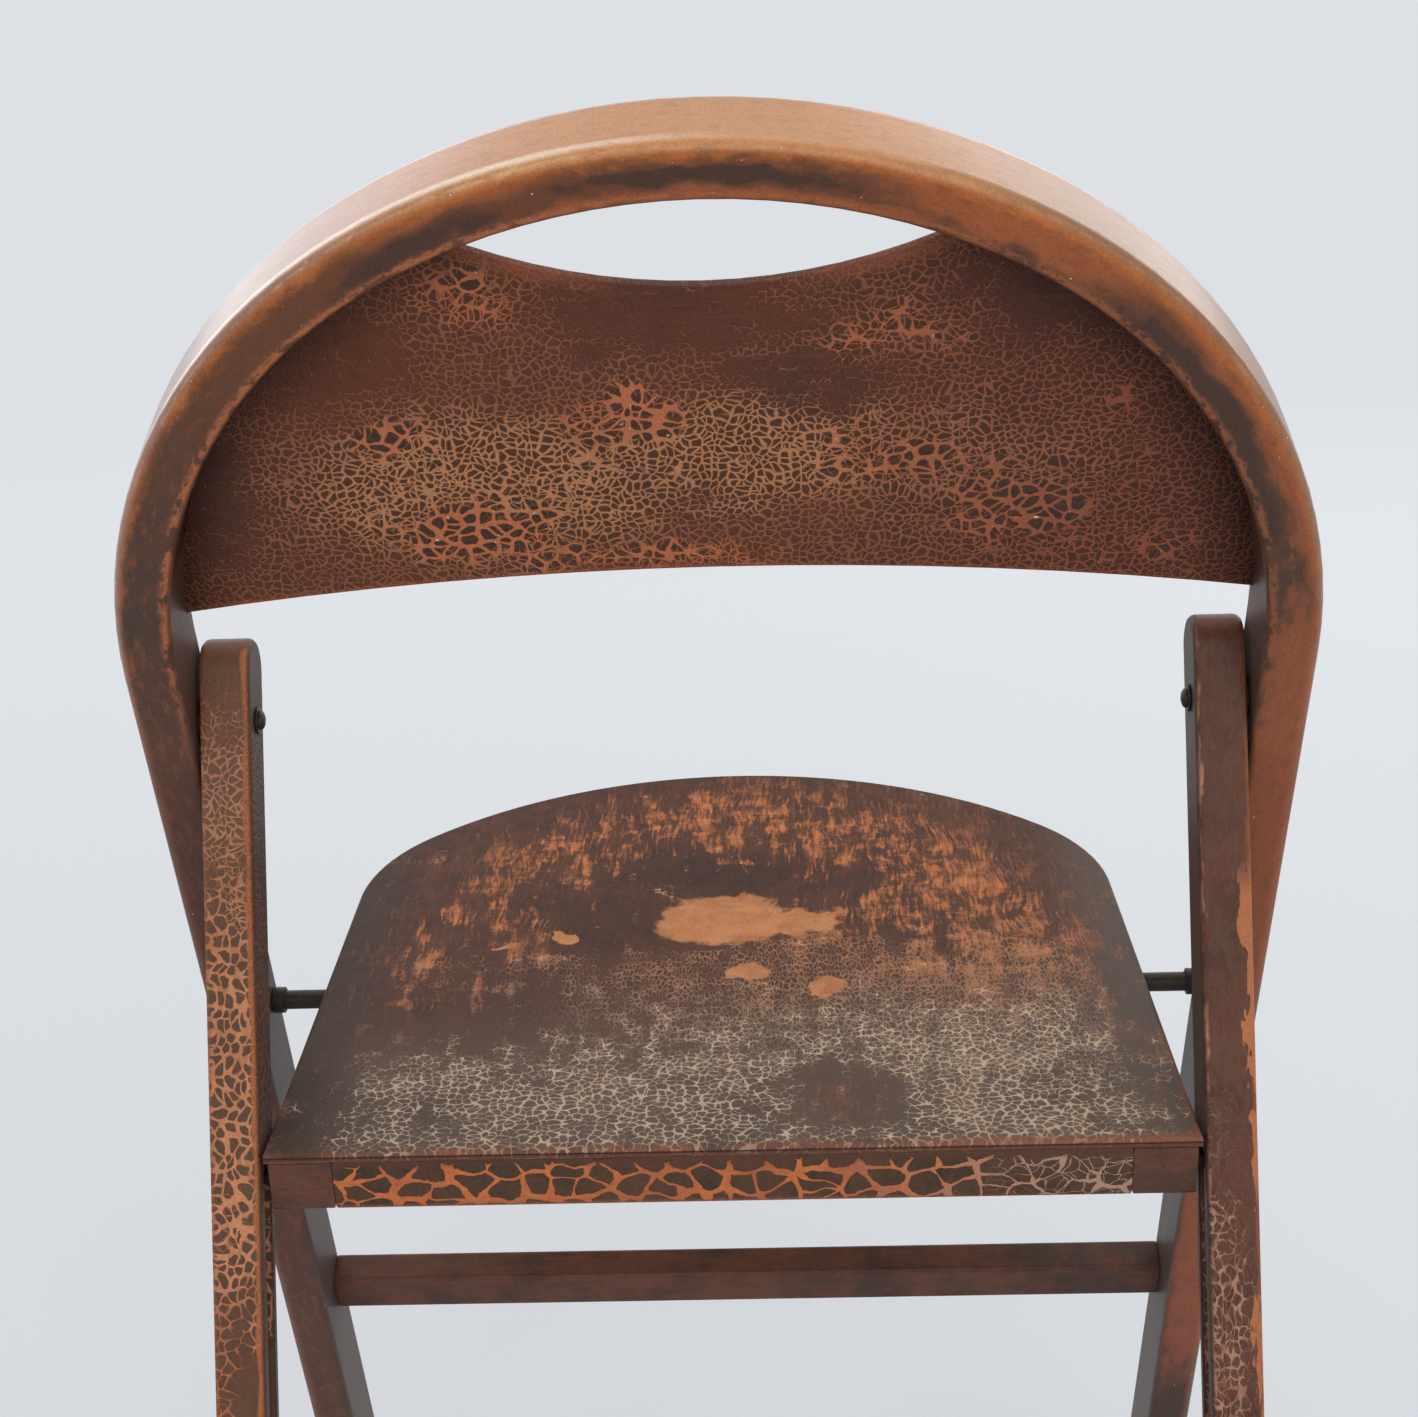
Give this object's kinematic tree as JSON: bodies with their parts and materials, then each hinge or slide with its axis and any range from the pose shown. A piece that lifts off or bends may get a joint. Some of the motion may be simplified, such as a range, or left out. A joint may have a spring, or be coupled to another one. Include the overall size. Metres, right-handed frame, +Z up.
{
  "type": "folding chair",
  "caption": "Bent-wood hoop-back folding chair with a curved back panel, crossing rear legs and a hinged plywood seat.",
  "frame": {"origin": "middle of the footprint, on the floor, with the chair standing open", "axes": "+Z up, +Y towards the front of the seat, +X to the right seen from behind"},
  "size_m": [0.435, 0.4977, 0.8199],
  "materials": {
    "hoop_frame": "brown paint rubbed through to golden wood on the arrises",
    "back_panel": "brown paint crackled over an orange ground",
    "front_stretcher": "worn brown paint",
    "pivot_rod": "dark aged iron",
    "rod_washer_left": "dark aged iron",
    "rod_washer_right": "dark aged iron",
    "leg_rivet_left": "dark aged iron",
    "leg_rivet_right": "dark aged iron",
    "rivet_washer_left": "dark aged iron",
    "rivet_washer_right": "dark aged iron",
    "leg_spacer_left": "dark aged iron",
    "leg_spacer_right": "dark aged iron",
    "rear_leg_left": "brown paint in large crackle over an orange ground",
    "rear_leg_right": "brown paint with worn orange edges",
    "rear_stretcher": "worn brown paint",
    "seat_panel": "brown paint, crackled and worn through in the middle",
    "seat_rail_left": "worn brown paint",
    "seat_rail_right": "worn brown paint",
    "seat_rear_rail": "brown paint in large crackle over an orange ground",
    "seat_front_rail": "worn brown paint",
    "slide_pin_left": "dark aged iron",
    "slide_pin_right": "dark aged iron"
  },
  "bodies": {
    "frame": {"hoop_frame": "hoop_frame", "back_panel": "back_panel", "front_stretcher": "front_stretcher", "pivot_rod": "pivot_rod", "rod_washer_left": "rod_washer_left", "rod_washer_right": "rod_washer_right", "leg_rivet_left": "leg_rivet_left", "leg_rivet_right": "leg_rivet_right", "rivet_washer_left": "rivet_washer_left", "rivet_washer_right": "rivet_washer_right", "leg_spacer_left": "leg_spacer_left", "leg_spacer_right": "leg_spacer_right"},
    "rear_legs": {"rear_leg_left": "rear_leg_left", "rear_leg_right": "rear_leg_right", "rear_stretcher": "rear_stretcher"},
    "seat": {"seat_panel": "seat_panel", "seat_rail_left": "seat_rail_left", "seat_rail_right": "seat_rail_right", "seat_rear_rail": "seat_rear_rail", "seat_front_rail": "seat_front_rail", "slide_pin_left": "slide_pin_left", "slide_pin_right": "slide_pin_right"}
  },
  "joints": [
    {"name": "fold", "type": "hinge", "parent": "frame", "child": "rear_legs", "pos_m": [0, 0.0061, 0.59], "axis": [1, 0, 0], "range_deg": [0, 36]},
    {"name": "seat_fold", "type": "hinge", "parent": "frame", "child": "seat", "pos_m": [0, 0.06144, 0.43923], "axis": [1, 0, 0], "range_deg": [0, 91.44]}
  ],
  "couplings": [
    {"joint": "seat_fold", "follows": "fold", "ratio": 2.54}
  ]
}
